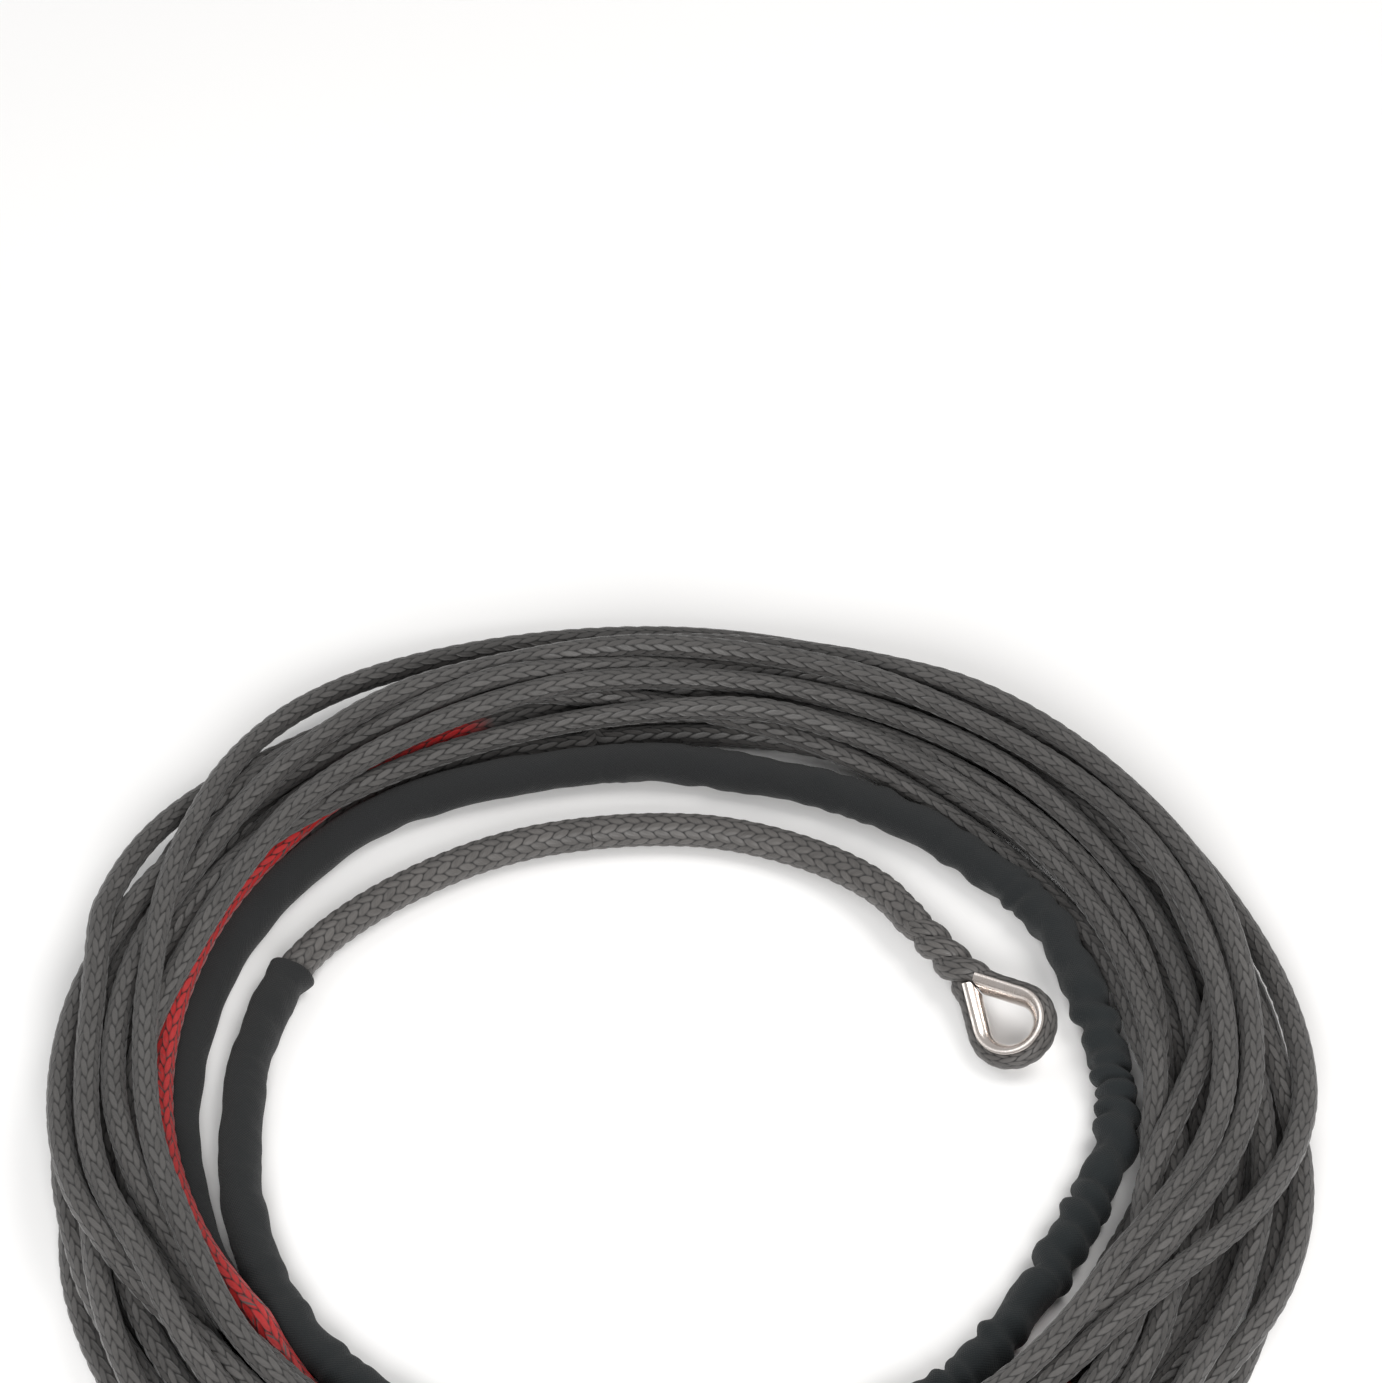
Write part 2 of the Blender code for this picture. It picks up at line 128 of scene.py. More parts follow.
# Outer limit of the rope's middle for every turn without a place of its own: (degrees, radius)
PILE_LIMIT = [(0, 171.5), (30, 170.0), (60, 166.0), (90, 166.0), (105, 165.5), (115, 161.5),
              (120, 159.5), (128, 159.0), (133, 162.0), (138, 163.5), (142, 161.0), (146, 157.5),
              (151, 156.0), (158, 156.5), (163, 159.0), (166, 159.0), (170, 156.5), (178, 156.5),
              (184, 159.0), (190, 161.5), (199, 162.5), (214, 166.5), (227, 170.0), (243, 172.0),
              (300, 171.5), (330, 170.5), (345, 171.5)]
# Turns that are seen to take a way of their own: turn, then (degrees from 227 on, radius)
OWN_WAYS = [
    (0, [(327, 139), (335, 147), (341, 156.5), (347, 164.5), (352, 169), (358, 170.5), (364, 170.3),
         (371, 170), (390, 167), (415, 163.5), (440, 163.5), (452, 165), (472, 170), (483, 173.2),
         (491, 172.4), (498, 167.5), (506, 158), (513, 152.5), (519, 149), (528, 143), (541, 139.4),
         (550, 138.8), (560, 138), (569, 136)]),
    (1, [(338, 134), (344.5, 141.4), (352, 146.4), (361, 148.6), (368, 149.6), (375, 151), (382, 153),
         (392, 153.4), (401, 153), (409, 151.5), (420, 149.5), (450, 151), (480, 153), (510, 149.5),
         (535, 150), (545, 148.5), (555, 145), (564, 141.5), (574, 137), (583, 134)]),
    (2, [(350, 152.5), (357, 155.2), (367, 157.2), (374, 159), (384, 160.4), (393, 160), (401, 160.4),
         (409, 159.6), (420, 158), (450, 158), (488, 158), (500, 165), (506, 169), (512, 169.8),
         (518, 167), (524, 162.5), (529, 157.5), (535, 155), (545, 155), (554, 155.5), (560, 152.5),
         (567, 147.5)]),
    (3, [(340, 126), (348, 129), (357, 136.5), (366, 147), (373, 155), (385, 162), (400, 164.5),
         (430, 150), (470, 147), (512, 155), (520, 160), (528, 163.8), (536, 163.8), (543, 163.2),
         (552, 162.6), (558, 161.5), (564, 154.5), (570, 148), (578, 142.5)]),
    (4, [(335, 138), (355, 141), (380, 146), (410, 146), (440, 142), (460, 140.5), (478, 139.8),
         (490, 138.8), (504, 137.2), (515, 136), (526, 136.5), (534, 140), (541, 144), (548, 146),
         (571, 145)]),
    (5, [(300, 130), (318, 130.5), (328, 134.5), (340, 132), (355, 130.5), (370, 130), (390, 133),
         (420, 134), (450, 131), (470, 132.5), (478, 133.5), (490, 135), (500, 137.5), (510, 142),
         (520, 146)]),
    (6, [(340, 137), (355, 133), (370, 128), (390, 127), (410, 126), (440, 132), (470, 146)]),
    (8, [(326, 166), (336, 171.2), (341, 171.8), (346, 171.6), (351, 169.5), (357, 165), (365, 161)]),
    (8, [(460, 142.5), (478, 141.5), (490, 140.5), (504, 139), (515, 137.8), (529, 137), (548, 136.6),
         (559, 134.6), (571, 133.5), (582, 132.5), (592, 134), (605, 138), (620, 142)]),
    (9, [(470, 147.5), (500, 146.5), (530, 145.5), (570, 145)]),
    (3, [(470, 147.5), (490, 150), (512, 155)]),
    (14, [(515, 152), (540, 155.5), (550, 159), (556, 162.5), (562, 165.5), (574, 167), (587, 170),
          (595, 174)]),
]
WAY_EASE = 18.0  # degrees over which a turn joins and leaves its own way
WAY_MARGIN = 0.6  # how far past its own way a turn may be pushed
END_EASE = 60.0  # degrees over which the last turn swings out to the lug
END_LIMIT = 163.0
END_SWING = 16.5
# The red mark, along the coil in degrees
RED_FROM = COIL_START + 8 * 360 + 246.0
RED_TO = COIL_START + 9 * 360 + 102.0
RED_EDGE = 4.0

# How the turns settle, for every round
ROUNDS = 3000
SMOOTHING = 0.30  # share of the way to the middle of a point's neighbours
LOOSE_HOLD = 0.015  # share of the way to the place that a turn wishes for
OWN_HOLD = 0.12  # the same, on a way of its own
LATE_HOLD = 0.3  # both are cut to this share near the end
LATE_FROM = 0.8  # share of the rounds
FALL = 0.22
SLOW_FALL = 0.30
SLOW_FROM = 0.6
ROPE_PUSH = 0.42  # share of an overlap that each of two turns gives way
SLEEVE_PUSH = 0.8
FAR_AWAY = -1000.0  # where a turn or the sleeve is kept in cross-sections that it doesn't pass


def polar_points(route, height):
    return [(r * math.cos(math.radians(a)), r * math.sin(math.radians(a)), height) for a, r in route]


def coil_to_row(points):
    """Millimetres in the coil's frame to metres in the row frame."""
    x, y, z = np.moveaxis(np.asarray(points, dtype=float), -1, 0)
    cosine = math.cos(COIL_HEADING)
    sine = math.sin(COIL_HEADING)
    return np.stack([x * cosine - y * sine + COIL_ORIGIN[0], x * sine + y * cosine + COIL_ORIGIN[1], z],
                    axis=-1) * MM


def eye_to_row(points):
    """Millimetres in the eye's tilted frame to metres in the row frame."""
    x, y, z = np.moveaxis(np.asarray(points, dtype=float), -1, 0)
    cosine = math.cos(EYE_ROLL)
    sine = math.sin(EYE_ROLL)
    turned = np.stack([x, y * cosine - z * sine, y * sine + z * cosine], axis=-1)
    return (turned + np.array(EYE_CENTRE)) * MM


def catmull_rom(points, steps=24):
    pts = np.asarray(points, dtype=float)
    pts = np.vstack([2 * pts[0] - pts[1], pts, 2 * pts[-1] - pts[-2]])
    out = []
    for a, b, c, d in zip(pts[:-3], pts[1:-2], pts[2:-1], pts[3:]):
        for step in range(steps):
            t = step / steps
            out.append(0.5 * (2 * b + (c - a) * t + (2 * a - 5 * b + 4 * c - d) * t ** 2
                              + (3 * b - a - 3 * c + d) * t ** 3))
    out.append(pts[-2])
    return np.array(out)


def read_table(at, table, beyond=None):
    """A value read between the rows of a table of (place, value)."""
    return np.interp(at, [place for place, value in table], [value for place, value in table], beyond, beyond)


def lengths_along(points):
    """Length along a line to each point, from the first three columns."""
    steps = np.linalg.norm(np.diff(points[:, :3], axis=0), axis=1)
    return np.concatenate([[0.0], np.cumsum(steps)])


def read_at(points, wanted):
    along = lengths_along(points)
    return np.column_stack([np.interp(wanted, along, points[:, axis]) for axis in range(points.shape[1])])


def even_points(points, spacing):
    along = lengths_along(points)
    count = max(2, int(round(along[-1] / spacing)) + 1)
    return read_at(points, np.linspace(0.0, along[-1], count))


def mouth_point(distance):
    return (MOUTH_PIVOT[0] + distance * math.cos(MOUTH_HEADING),
            MOUTH_PIVOT[1] + distance * math.sin(MOUTH_HEADING), MOUTH_PIVOT[2])


def eye_axis_point(back):
    """A point on the eye's axis behind the crown centre, in the coil's frame."""
    return (CROWN_IN_COIL[0] - back * math.cos(EYE_HEADING),
            CROWN_IN_COIL[1] - back * math.sin(EYE_HEADING), EYE_CENTRE[2])


def add_object(name, data):
    made = bpy.data.objects.new(name, data)
    bpy.context.collection.objects.link(made)
    return made


def aim(thing, place, direction):
    thing.location = place
    thing.rotation_mode = "QUATERNION"
    thing.rotation_quaternion = direction.to_track_quat("-Z", "Y")


# ------ camera, first of all

CAMERA_PLACE = (0.46800, -0.42445, 0.80385)
CAMERA_HEADING = (-0.8192, 0.5736)
CAMERA_PITCH = math.radians(47.107)
CAMERA_LENS = 95.425


def add_camera():
    data = bpy.data.cameras.new("camera")
    data.lens = CAMERA_LENS
    data.sensor_width = 36.0
    data.clip_start = 0.01
    data.clip_end = 20.0
    camera = add_object("camera", data)
    look = Vector((CAMERA_HEADING[0] * math.cos(CAMERA_PITCH), CAMERA_HEADING[1] * math.cos(CAMERA_PITCH),
                   -math.sin(CAMERA_PITCH)))
    aim(camera, CAMERA_PLACE, look)
    bpy.context.scene.camera = camera


# ------ the coil's turns

def round_table(values, degrees):
    """A value given every 30 degrees round the coil, read smoothly at any angle."""
    closed = np.array([(v,) for v in values[-1:] + values + values[:2]], dtype=float)
    smooth = catmull_rom(closed, 10)[:, 0]
    at = np.linspace(-30.0, 390.0, len(smooth))
    return np.interp(np.mod(degrees, 360.0), at, smooth)


def pile_limit(degrees):
    return read_table(np.mod(degrees, 360.0), PILE_LIMIT + [(360, PILE_LIMIT[0][1])])


def sleeve_passes(degrees):
    """Radii of the sleeve's middle at an angle, far away where it doesn't pass."""
    angle = np.mod(degrees, 360.0)
    return [read_table(angle + round_before, SLEEVE_ROUTE, beyond=FAR_AWAY) for round_before in (0.0, 360.0)]


def wished_radius(degrees):
    """Where each point would lie if nothing were in its way, how firmly, and how far out it may be pushed."""
    turn = (degrees - COIL_START) / 360.0
    share = np.interp(turn, np.arange(TURNS), LANES)
    share = share + 0.10 * np.sin(degrees * 0.0107 + 1.0) + 0.08 * np.sin(degrees * 0.0263)
    inner = round_table(COIL_INNER, degrees) + ROPE_RADIUS
    outer = pile_limit(degrees)
    radius = inner + np.clip(share, 0.0, 1.0) * (outer - inner)
    hold = np.full(len(degrees), LOOSE_HOLD)
    limit = outer.copy()
    for index, way in OWN_WAYS:
        at = np.array([a for a, r in way], dtype=float) + 360.0 * (index + 1)
        own = np.interp(degrees, at, [r for a, r in way])
        start, end = at[0], at[-1]
        weight = np.clip((degrees - start + WAY_EASE) / WAY_EASE, 0, 1)
        weight *= np.clip((end + WAY_EASE - degrees) / WAY_EASE, 0, 1)
        radius = radius * (1 - weight) + own * weight
        hold = np.maximum(hold, OWN_HOLD * weight)
        limit = np.maximum(limit, np.where(weight > 0.3, own + WAY_MARGIN, 0.0))
    last = np.clip((degrees - (COIL_END - END_EASE)) / END_EASE, 0.0, 1.0)
    limit = np.maximum(limit, END_LIMIT + END_SWING * last)
    return radius, hold, limit


def push_apart(radius, height, there, reach):
    """How far the overlaps between the rope's own turns move each turn, in each cross-section."""
    across = radius[:, None, :] - radius[None, :, :]
    above = height[:, None, :] - height[None, :, :]
    gap = np.sqrt(across ** 2 + above ** 2) + 1e-9
    short = np.clip(reach - gap, 0.0, None) * there[:, None, :] * there[None, :, :]
    for k in range(TURNS):
        short[k, k] = 0.0
    push = ROPE_PUSH * short / gap
    return (push * across).sum(axis=1), (push * above).sum(axis=1)


def lay_coil():
    """The turns dropped onto each other and settled, as points in the coil's frame.

    Every turn is followed through the same cross-sections.  In each one the turns are discs that fall, come
    to rest on the floor, on the sleeve and on each other, and along the rope they stay smooth.  Contact is
    felt within a cross-section only, so in some places two turns trade sides between one and the next.
    """
    step = 360.0 / SLICES
    degrees = np.arange(COIL_START, COIL_END + 0.1, step)
    count = len(degrees)
    full = TURNS * SLICES
    there = np.zeros(full)
    there[:count] = 1.0
    there = there.reshape(TURNS, SLICES)
    radius, hold, limit = wished_radius(degrees)
    wished = radius.copy()
    turn = (degrees - COIL_START) / 360.0
    height = ROPE_LOWEST + PILE_STEP * (TURNS - 1 - turn)
    passes = sleeve_passes(COIL_START + step * np.arange(SLICES))
    rounds = ROUNDS
    for k in range(rounds):
        settled = k / rounds
        for _ in range(2):
            for line in (radius, height):
                line[1:-1] += SMOOTHING * (0.5 * (line[:-2] + line[2:]) - line[1:-1])
        radius += hold * (wished - radius) * (1.0 if settled < LATE_FROM else LATE_HOLD)
        height -= FALL if settled < SLOW_FROM else SLOW_FALL * (1.0 - settled)
        r_all = np.zeros(full)
        z_all = np.full(full, FAR_AWAY)
        r_all[:count] = radius
        z_all[:count] = height
        r_all = r_all.reshape(TURNS, SLICES)
        z_all = z_all.reshape(TURNS, SLICES)
        for _ in range(2):
            push_r, push_z = push_apart(r_all, z_all, there, 2 * ROPE_RADIUS - ROPE_GIVE)
            r_all = r_all + push_r
            z_all = z_all + push_z
            for middle in passes:
                across = r_all - middle
                above = z_all - SLEEVE_HEIGHT
                gap = np.sqrt(across ** 2 + above ** 2) + 1e-9
                short = np.clip(ROPE_RADIUS + SLEEVE_RADIUS - SLEEVE_GIVE - gap, 0.0, None)
                short = short * there / gap
                r_all = r_all + SLEEVE_PUSH * short * across
                z_all = z_all + SLEEVE_PUSH * short * above
            z_all = np.maximum(z_all, ROPE_LOWEST)
        radius = np.minimum(r_all.ravel()[:count], limit)
        height = z_all.ravel()[:count]
        radius[0], height[0] = FIRST_RADIUS, SLEEVE_HEIGHT
        radius[-1], height[-1] = LAST_RADIUS, ROPE_LOWEST
    turned = np.radians(degrees)
    points = np.column_stack([radius * np.cos(turned), radius * np.sin(turned), height])
    return degrees, points


# ------ braided rope as a mesh

def braid_height(round_share, floats):
    """Height of a 12-strand braid's surface, 0 in its gaps to 1 on its floats.

    Six strands lean each way.  A strand's middle is where six times the share of the circle, less or plus the
    number of floats, is whole, and the two sets take turns on top in alternate columns.
    """
    lean_one = np.abs((STRANDS_EACH_WAY * round_share - floats + 0.5) % 1.0 - 0.5) * 2
    lean_two = np.abs((STRANDS_EACH_WAY * round_share + floats + 0.5) % 1.0 - 0.5) * 2
    over = np.cos(BRAID_FLOATS * math.pi * round_share)
    first = np.sqrt(1.0 - STRAND_DOME * lean_one ** 2) + CROSSING_LIFT * over
    second = np.sqrt(1.0 - STRAND_DOME * lean_two ** 2) - CROSSING_LIFT * over
    return np.clip((np.maximum(first, second) - 0.45) / 0.97, 0.0, 1.0)


def path_sections(points, pole=(0.0, 0.0, 1.0)):
    """Two directions across a route at each of its points: square to the pole, and square to that."""
    ahead = np.gradient(points, axis=0)
    ahead /= np.linalg.norm(ahead, axis=1)[:, None]
    level = np.cross(ahead, pole)
    level /= np.linalg.norm(level, axis=1)[:, None]
    return level, np.cross(level, ahead)


def sweep(places, level, up, wide, high):
    """A grid of places round a route, from the distances across it along its two directions."""
    return places[:, None, :] + level[:, None, :] * wide[:, :, None] + up[:, None, :] * high[:, :, None]


def tube_mesh(name, places, u_values, v_values):
    """A tube with closed ends from a grid of places (rings, sides, 3), with its UV in shares and floats."""
    rings, sides = places.shape[:2]
    verts = places.reshape(-1, 3)
    ring = np.arange(rings - 1)[:, None]
    side = np.arange(sides)[None, :]
    after = (side + 1) % sides
    quads = np.stack([ring * sides + side, ring * sides + after, (ring + 1) * sides + after,
                      (ring + 1) * sides + side], axis=-1).reshape(-1, 4)
    data = bpy.data.meshes.new(name)
    faces = quads.shape[0]
    total = faces + 2
    loops = np.concatenate([quads.ravel(), np.arange(sides)[::-1], (rings - 1) * sides + np.arange(sides)])
    starts = np.concatenate([np.arange(faces) * 4, [faces * 4, faces * 4 + sides]])
    data.vertices.add(len(verts))
    data.vertices.foreach_set("co", verts.ravel())
    data.loops.add(len(loops))
    data.loops.foreach_set("vertex_index", loops)
    data.polygons.add(total)
    data.polygons.foreach_set("loop_start", starts)
    layer = data.uv_layers.new(name="braid")
    u_ring = np.stack([u_values[:-1, :-1], u_values[:-1, 1:], u_values[1:, 1:], u_values[1:, :-1]], axis=-1)
    v_ring = np.stack([v_values[:-1], v_values[:-1], v_values[1:], v_values[1:]], axis=-1)
    v_ring = np.repeat(v_ring[:, None, :], sides, axis=1)
    uv = np.vstack([np.stack([u_ring.reshape(-1), v_ring.reshape(-1)], axis=-1), np.zeros((2 * sides, 2))])
    layer.data.foreach_set("uv", uv.ravel().astype(np.float32))
    data.polygons.foreach_set("use_smooth", np.ones(total, dtype=bool))
    data.update(calc_edges=True)
    data.validate()
    return add_object(name, data)


def braided_rope(name, points, wide, high, finish, float_length, relief, sides, spacing,
                 pole=(0.0, 0.0, 1.0), dye=None, twist=0.0, before=0.0):
    """A rope along row-frame points: wide and high are its half sizes in metres, read along the route.

    The length of a float, the relief of the braid and the spacing of the rings are in millimetres.  The braid
    carries on from a length of rope before this piece, in metres, and twists by so many turns for each metre.
    """
    along_all = lengths_along(points)
    count = int(round(along_all[-1] / (spacing * MM))) + 1
    along = np.linspace(0.0, along_all[-1], count)
    places = read_at(points, along)
    level, up = path_sections(places, pole)
    half_wide = np.interp(along, np.linspace(0, along_all[-1], len(wide)), wide)
    half_high = np.interp(along, np.linspace(0, along_all[-1], len(high)), high)
    floats = (before + along) / (float_length * MM)
    share = np.arange(sides + 1) / sides
    turned = share[None, :] + twist * (before + along[:, None])
    height = braid_height(turned, floats[:, None])
    drop = (1.0 - height) * relief * MM
    angle = 2 * math.pi * share
    wide_at = (half_wide[:, None] - drop) * np.cos(angle)[None, :]
    high_at = (half_high[:, None] - drop) * np.sin(angle)[None, :]
    grid = sweep(places, level, up, wide_at, high_at)
    made = tube_mesh(name, grid[:, :-1], turned, floats)
    if dye is not None:
        values = np.interp(along, np.linspace(0, along_all[-1], len(dye)), dye)
        layer = made.data.attributes.new("dye", "FLOAT", "POINT")
        layer.data.foreach_set("value", np.repeat(values, sides).astype(np.float32))
    made.data.materials.append(finish)
    return made


# ------ materials

class Finish:
    """A material's nodes, written briefly: each call adds one node and returns its output."""

    def __init__(self, name):
        self.material = bpy.data.materials.new(name)
        self.material.use_nodes = True
        self.tree = self.material.node_tree
        self.shader = self.tree.nodes["Principled BSDF"]

    def feed(self, socket, value):
        if isinstance(value, bpy.types.NodeSocket):
            self.tree.links.new(value, socket)
        else:
            socket.default_value = value

    def give(self, name, value):
        self.feed(self.shader.inputs[name], value)

    def math(self, operation, *values):
        node = self.tree.nodes.new("ShaderNodeMath")
        node.operation = operation
        for socket, value in zip(node.inputs, values):
            self.feed(socket, value)
        return node.outputs[0]

    def ramp(self, value, low, high, to_low=0.0, to_high=1.0):
        node = self.tree.nodes.new("ShaderNodeMapRange")
        node.interpolation_type = "SMOOTHSTEP"
        for socket, given in zip(node.inputs, (value, low, high, to_low, to_high)):
            self.feed(socket, given)
        return node.outputs[0]

    def blend(self, share, first, second):
        node = self.tree.nodes.new("ShaderNodeMix")
        node.data_type = "RGBA"
        self.feed(node.inputs[0], share)
        for socket, colour in ((node.inputs[6], first), (node.inputs[7], second)):
            self.feed(socket, (*colour, 1.0) if isinstance(colour, tuple) else colour)
        return node.outputs[2]

    def noise(self, scale, detail=3.0, roughness=0.55, vector=None):
        node = self.tree.nodes.new("ShaderNodeTexNoise")
        node.inputs["Scale"].default_value = scale
        node.inputs["Detail"].default_value = detail
        node.inputs["Roughness"].default_value = roughness
        self.feed(node.inputs["Vector"], vector if vector else self.place())
        return node.outputs["Fac"]

    def place(self):
        return self.tree.nodes.new("ShaderNodeTexCoord").outputs["Object"]

    def parts(self, vector):
        node = self.tree.nodes.new("ShaderNodeSeparateXYZ")
        self.tree.links.new(vector, node.inputs[0])
        return node.outputs

    def uv(self):
        node = self.tree.nodes.new("ShaderNodeUVMap")
        node.uv_map = "braid"
        return self.parts(node.outputs[0])[:2]

    def stretched(self, scales):
        """The object's own coordinates, each axis times a scale of its own."""
        axes = self.parts(self.place())
        return self.vector(*[self.math("MULTIPLY", axis, scale) for axis, scale in zip(axes, scales)])

    def vector(self, x, y, z=0.0):
        node = self.tree.nodes.new("ShaderNodeCombineXYZ")
        for socket, value in zip(node.inputs, (x, y, z)):
            self.feed(socket, value)
        return node.outputs[0]

    def bump(self, height, distance, strength=1.0, under=None):
        node = self.tree.nodes.new("ShaderNodeBump")
        node.inputs["Strength"].default_value = strength
        node.inputs["Distance"].default_value = distance
        self.feed(node.inputs["Height"], height)
        if under:
            self.feed(node.inputs["Normal"], under)
        return node.outputs[0]


def strand_distance(finish, six, floats, operation):
    """0 on a strand's middle to 1 on its edge, for the strands that lean one way."""
    moved = finish.math(operation, six, floats)
    whole = finish.math("FRACT", finish.math("ADD", moved, 1000.5))
    return finish.math("MULTIPLY", finish.math("ABSOLUTE", finish.math("SUBTRACT", whole, 0.5)), 2.0)


FIBRE = (0.082, 0.077, 0.074)
# painted shade: near black, painted into the braid's gaps where shade falls between the strands
FIBRE_GAP_PAINTED_SHADE = (0.005, 0.005, 0.005)
COIL_FIBRE_PAINTED_SHADE = (0.068, 0.065, 0.063)  # painted shade: the same rope as the lead's, its fibre painted a little darker on the coil
# painted shade: the same near-black gap colour for the coil's rope
COIL_GAP_PAINTED_SHADE = (0.004, 0.004, 0.004)
RED_DYE = (0.38, 0.008, 0.009)


def shade(colour, share):
    return tuple(part * share for part in colour)


def rope_finish(name, fibre, gap, dyed=None):
    """Twelve-strand braid of coated filament: floats, gaps painted near black as painted shade, filament
    lines, dust and wear.
    """
    finish = Finish(name)
    share, floats = finish.uv()
    six = finish.math("MULTIPLY", share, STRANDS_EACH_WAY)
    crossing = finish.math("COSINE", finish.math("MULTIPLY", share, BRAID_FLOATS * math.pi))
    over = finish.math("MULTIPLY", crossing, CROSSING_LIFT)
    tops = []
    for operation, lift in (("SUBTRACT", "ADD"), ("ADD", "SUBTRACT")):
        edge = strand_distance(finish, six, floats, operation)
        square = finish.math("MULTIPLY", finish.math("MULTIPLY", edge, edge), STRAND_DOME)
        dome = finish.math("SQRT", finish.math("SUBTRACT", 1.0, square))
        tops.append(finish.math(lift, dome, over))
    height = finish.ramp(finish.math("MAXIMUM", tops[0], tops[1]), 0.5, 1.38)
    lean = finish.math("GREATER_THAN", tops[0], tops[1])
    slant_one = finish.math("SUBTRACT", six, floats)
    slant_two = finish.math("ADD", six, floats)
    slant = finish.math("ADD", finish.math("MULTIPLY", slant_one, lean),
                        finish.math("MULTIPLY", slant_two, finish.math("SUBTRACT", 1.0, lean)))
    filament = finish.noise(1.0, 2.0, 0.6, finish.vector(finish.math("MULTIPLY", slant, 9.0),
                                                          finish.math("MULTIPLY", floats, 0.9), lean))
    patch = finish.noise(38.0, 3.0, 0.6)
    strand_shade = finish.noise(1.0, 0.0, 0.5, finish.vector(
        finish.math("MULTIPLY", finish.math("ROUND", slant), 7.31), finish.math("MULTIPLY", floats, 0.12),
        lean))
    light = finish.blend(finish.ramp(filament, 0.3, 0.7), shade(fibre, 0.72), fibre)
    light = finish.blend(finish.ramp(strand_shade, 0.35, 0.7, 0.0, 0.45), light, shade(fibre, 1.45))
    light = finish.blend(finish.ramp(patch, 0.35, 0.75, 0.0, 0.35), light, shade(fibre, 0.6))
    if dyed:
        node = finish.tree.nodes.new("ShaderNodeAttribute")
        node.attribute_name = "dye"
        worn = finish.ramp(finish.noise(1.0, 2.0, 0.6, finish.vector(
            finish.math("MULTIPLY", slant, 2.5), finish.math("MULTIPLY", floats, 0.7), lean)), 0.30, 0.42)
        light = finish.blend(finish.math("MULTIPLY", node.outputs["Fac"], worn), light, dyed)
    # painted shade: the gaps between the floats take the near-black gap colour
    colour = finish.blend(finish.ramp(height, 0.12, 0.86), gap, light)
    finish.give("Base Color", colour)
    finish.give("Roughness", finish.ramp(filament, 0.25, 0.75, 0.42, 0.62))
    finish.give("Specular IOR Level", 0.45)
    finish.give("Sheen Weight", 0.12)
    finish.give("Sheen Roughness", 0.5)
    coarse = finish.bump(height, 0.0006, 0.55)
    finish.give("Normal", finish.bump(filament, 0.00012, 0.5, coarse))
    return finish.material


WARP_YARNS = 40


def sleeve_finish():
    """Tubular woven nylon: a fine plain weave, charcoal with a green-blue cast, dusty in random patches."""
    finish = Finish("sleeve_weave")
    share, along = finish.uv()
    warp = finish.math("SINE", finish.math("MULTIPLY", share, 2 * math.pi * WARP_YARNS))
    weft = finish.math("SINE", finish.math("MULTIPLY", along, 2 * math.pi))
    weave = finish.math("MULTIPLY", warp, weft)
    cast = finish.ramp(finish.parts(finish.place())[0], -0.13, 0.08)
    base = finish.blend(cast, (0.012, 0.0125, 0.013), (0.009, 0.013, 0.0145))
    cloud = finish.noise(55.0, 4.0, 0.6)
    base = finish.blend(finish.ramp(cloud, 0.35, 0.8, 0.0, 0.4), base, (0.021, 0.022, 0.024))
    base = finish.blend(finish.ramp(weave, -0.6, 0.9, 0.35, 0.0), base, (0.012, 0.014, 0.015))
    finish.give("Base Color", base)
    finish.give("Roughness", finish.ramp(cloud, 0.3, 0.8, 0.78, 0.92))
    finish.give("Specular IOR Level", 0.2)
    finish.give("Sheen Weight", 0.08)
    finish.give("Sheen Roughness", 0.6)
    folds = finish.bump(finish.noise(420.0, 3.0, 0.6), 0.0006, 0.5)
    finish.give("Normal", finish.bump(weave, 0.00012, 0.6, folds))
    return finish.material


def steel_finish():
    """Polished stainless steel with fine hairlines and a few dull rubbed patches."""
    finish = Finish("polished_steel")
    rub = finish.noise(260.0, 5.0, 0.65)
    scratch = finish.noise(1.0, 4.0, 0.7, finish.stretched((2400.0, 300.0, 2400.0)))
    colour = finish.blend(finish.ramp(rub, 0.4, 0.75), (0.72, 0.665, 0.63), (0.60, 0.54, 0.50))
    finish.give("Base Color", colour)
    finish.give("Metallic", 1.0)
    finish.give("Roughness", finish.ramp(rub, 0.35, 0.8, 0.18, 0.34))
    finish.give("Normal", finish.bump(scratch, 0.00003, 0.35))
    return finish.material


def lug_finish():
    """Tinned copper lug: soft brushed lines, dull in random tarnished patches."""
    finish = Finish("tinned_lug")
    lines = finish.noise(1.0, 4.0, 0.7, finish.stretched((1800.0, 220.0, 900.0)))
    tarnish = finish.noise(150.0, 4.0, 0.6)
    colour = finish.blend(finish.ramp(tarnish, 0.4, 0.75), (0.58, 0.57, 0.55), (0.36, 0.34, 0.32))
    finish.give("Base Color", colour)
    finish.give("Metallic", 1.0)
    finish.give("Roughness", finish.ramp(tarnish, 0.3, 0.8, 0.28, 0.48))
    finish.give("Normal", finish.bump(lines, 0.00005, 0.4))
    return finish.material


def shrink_finish():
    """Black heat-shrink tube, half matt, with a faint grain."""
    finish = Finish("heat_shrink")
    cloud = finish.noise(120.0, 4.0, 0.6)
    colour = finish.blend(finish.ramp(cloud, 0.35, 0.75), (0.012, 0.012, 0.013),
                          (0.030, 0.029, 0.030))
    finish.give("Base Color", colour)
    finish.give("Roughness", finish.ramp(cloud, 0.3, 0.8, 0.38, 0.58))
    finish.give("Normal", finish.bump(finish.noise(700.0, 3.0, 0.6), 0.0002, 0.35))
    return finish.material


